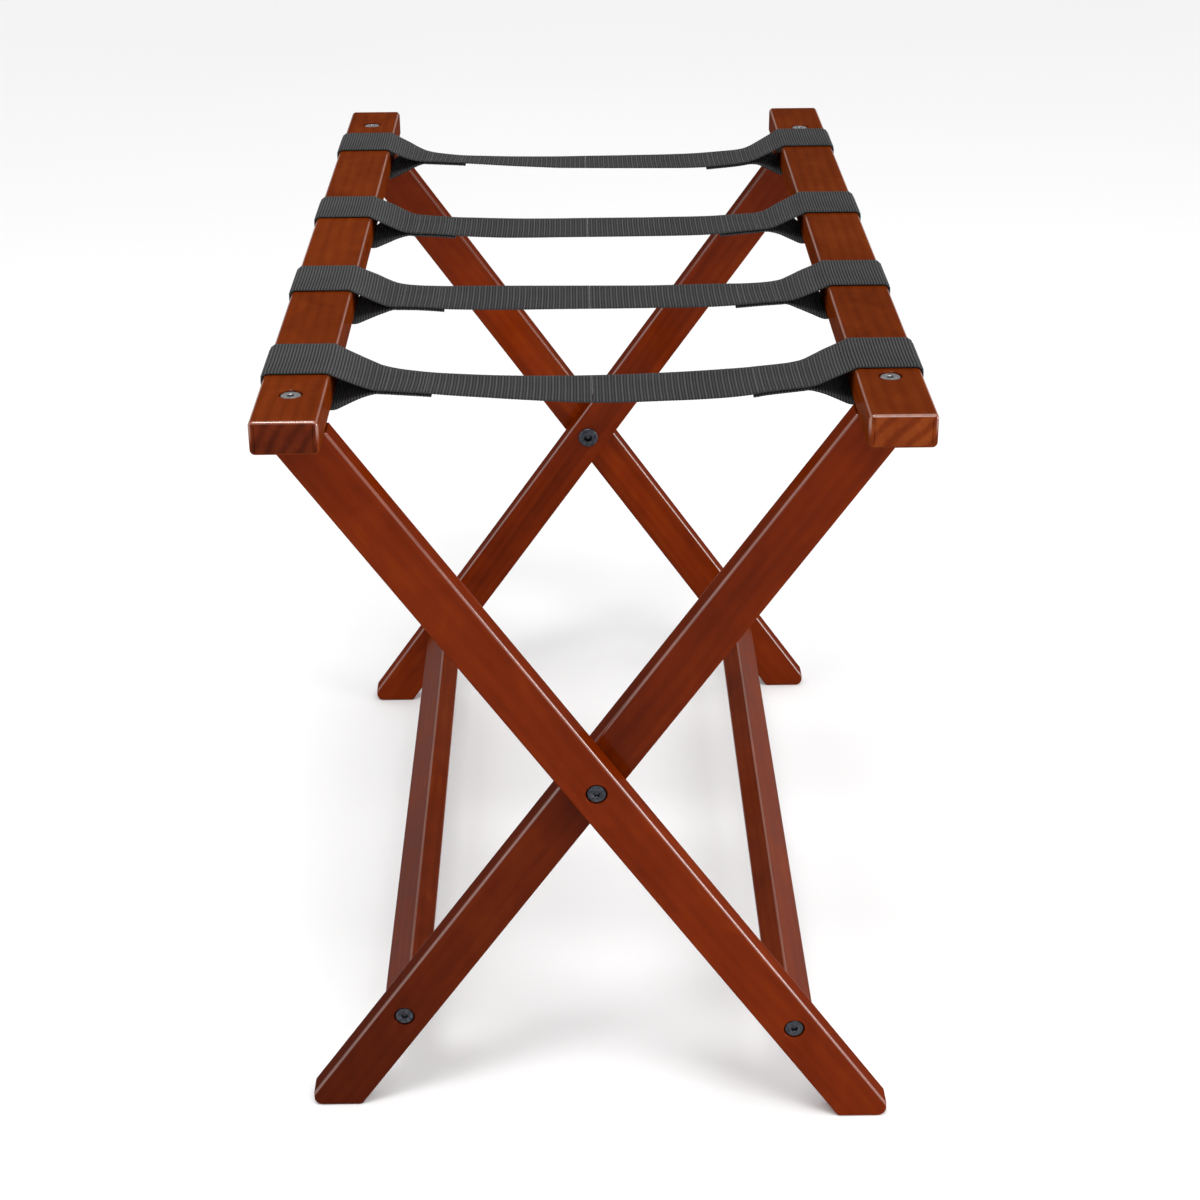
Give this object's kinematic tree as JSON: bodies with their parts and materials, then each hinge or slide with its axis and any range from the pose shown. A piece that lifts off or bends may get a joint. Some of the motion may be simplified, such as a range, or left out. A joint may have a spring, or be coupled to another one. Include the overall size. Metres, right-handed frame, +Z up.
{
  "type": "folding luggage rack",
  "caption": "Folding wooden luggage rack: two crossed leg frames hinged at the middle, joined at the top by webbing straps.",
  "frame": {"origin": "centre of the footprint on the floor, midway between the rails and between the rails' ends", "axes": "+Y along the rails, +X from the left rail to the right rail, +Z up"},
  "size_m": [0.3816, 0.68, 0.5098],
  "materials": {
    "rail_wood": "semi-gloss reddish brown stain",
    "leg_wood": "semi-gloss reddish brown stain",
    "stretcher_wood": "semi-gloss reddish brown stain",
    "webbing": "woven charcoal webbing",
    "black_steel": "black oxide",
    "bright_steel": "zinc plated",
    "brass": "plain",
    "nylon": "matte"
  },
  "bodies": {
    "outer_frame": {"left_rail": "rail_wood", "right_stretcher": "stretcher_wood", "outer_leg_front": "leg_wood", "left_rail_bolt_front": "bright_steel", "left_rail_insert_front": "brass", "right_stretcher_bolt_front": "black_steel", "right_stretcher_insert_front": "brass", "pivot_bolt_front": "black_steel", "pivot_washer_front": "nylon", "outer_leg_rear": "leg_wood", "left_rail_bolt_rear": "bright_steel", "left_rail_insert_rear": "brass", "right_stretcher_bolt_rear": "black_steel", "right_stretcher_insert_rear": "brass", "pivot_bolt_rear": "black_steel", "pivot_washer_rear": "nylon", "strap1_left_loop": "webbing", "strap2_left_loop": "webbing", "strap3_left_loop": "webbing", "strap4_left_loop": "webbing"},
    "inner_frame": {"right_rail": "rail_wood", "left_stretcher": "stretcher_wood", "inner_leg_front": "leg_wood", "right_rail_bolt_front": "bright_steel", "right_rail_insert_front": "brass", "left_stretcher_bolt_front": "black_steel", "left_stretcher_insert_front": "brass", "pivot_nut_front": "black_steel", "inner_leg_rear": "leg_wood", "right_rail_bolt_rear": "bright_steel", "right_rail_insert_rear": "brass", "left_stretcher_bolt_rear": "black_steel", "left_stretcher_insert_rear": "brass", "pivot_nut_rear": "black_steel", "strap1_right_loop": "webbing", "strap2_right_loop": "webbing", "strap3_right_loop": "webbing", "strap4_right_loop": "webbing"},
    "left_strap_halves": {"strap1_left_run": "webbing", "strap2_left_run": "webbing", "strap3_left_run": "webbing", "strap4_left_run": "webbing"},
    "right_strap_halves": {"strap1_right_run": "webbing", "strap2_right_run": "webbing", "strap3_right_run": "webbing", "strap4_right_run": "webbing"}
  },
  "joints": [
    {"name": "fold", "type": "hinge", "parent": "outer_frame", "child": "inner_frame", "pos_m": [0, 0, 0.24876], "axis": [0, -1, 0], "range_deg": [0, 59]},
    {"name": "left_strap_drop", "type": "hinge", "parent": "outer_frame", "child": "left_strap_halves", "pos_m": [-0.1505, 0, 0.508], "axis": [0, 1, 0], "range_deg": [0, 57], "deforming": ["strap1_left_run", "strap2_left_run", "strap3_left_run", "strap4_left_run"]},
    {"name": "right_strap_drop", "type": "hinge", "parent": "inner_frame", "child": "right_strap_halves", "pos_m": [0.1505, 0, 0.508], "axis": [0, -1, 0], "range_deg": [0, 57], "deforming": ["strap1_right_run", "strap2_right_run", "strap3_right_run", "strap4_right_run"]}
  ],
  "couplings": [
    {"joint": "left_strap_drop", "follows": "fold", "ratio": 0.95},
    {"joint": "right_strap_drop", "follows": "fold", "ratio": 0.95}
  ]
}
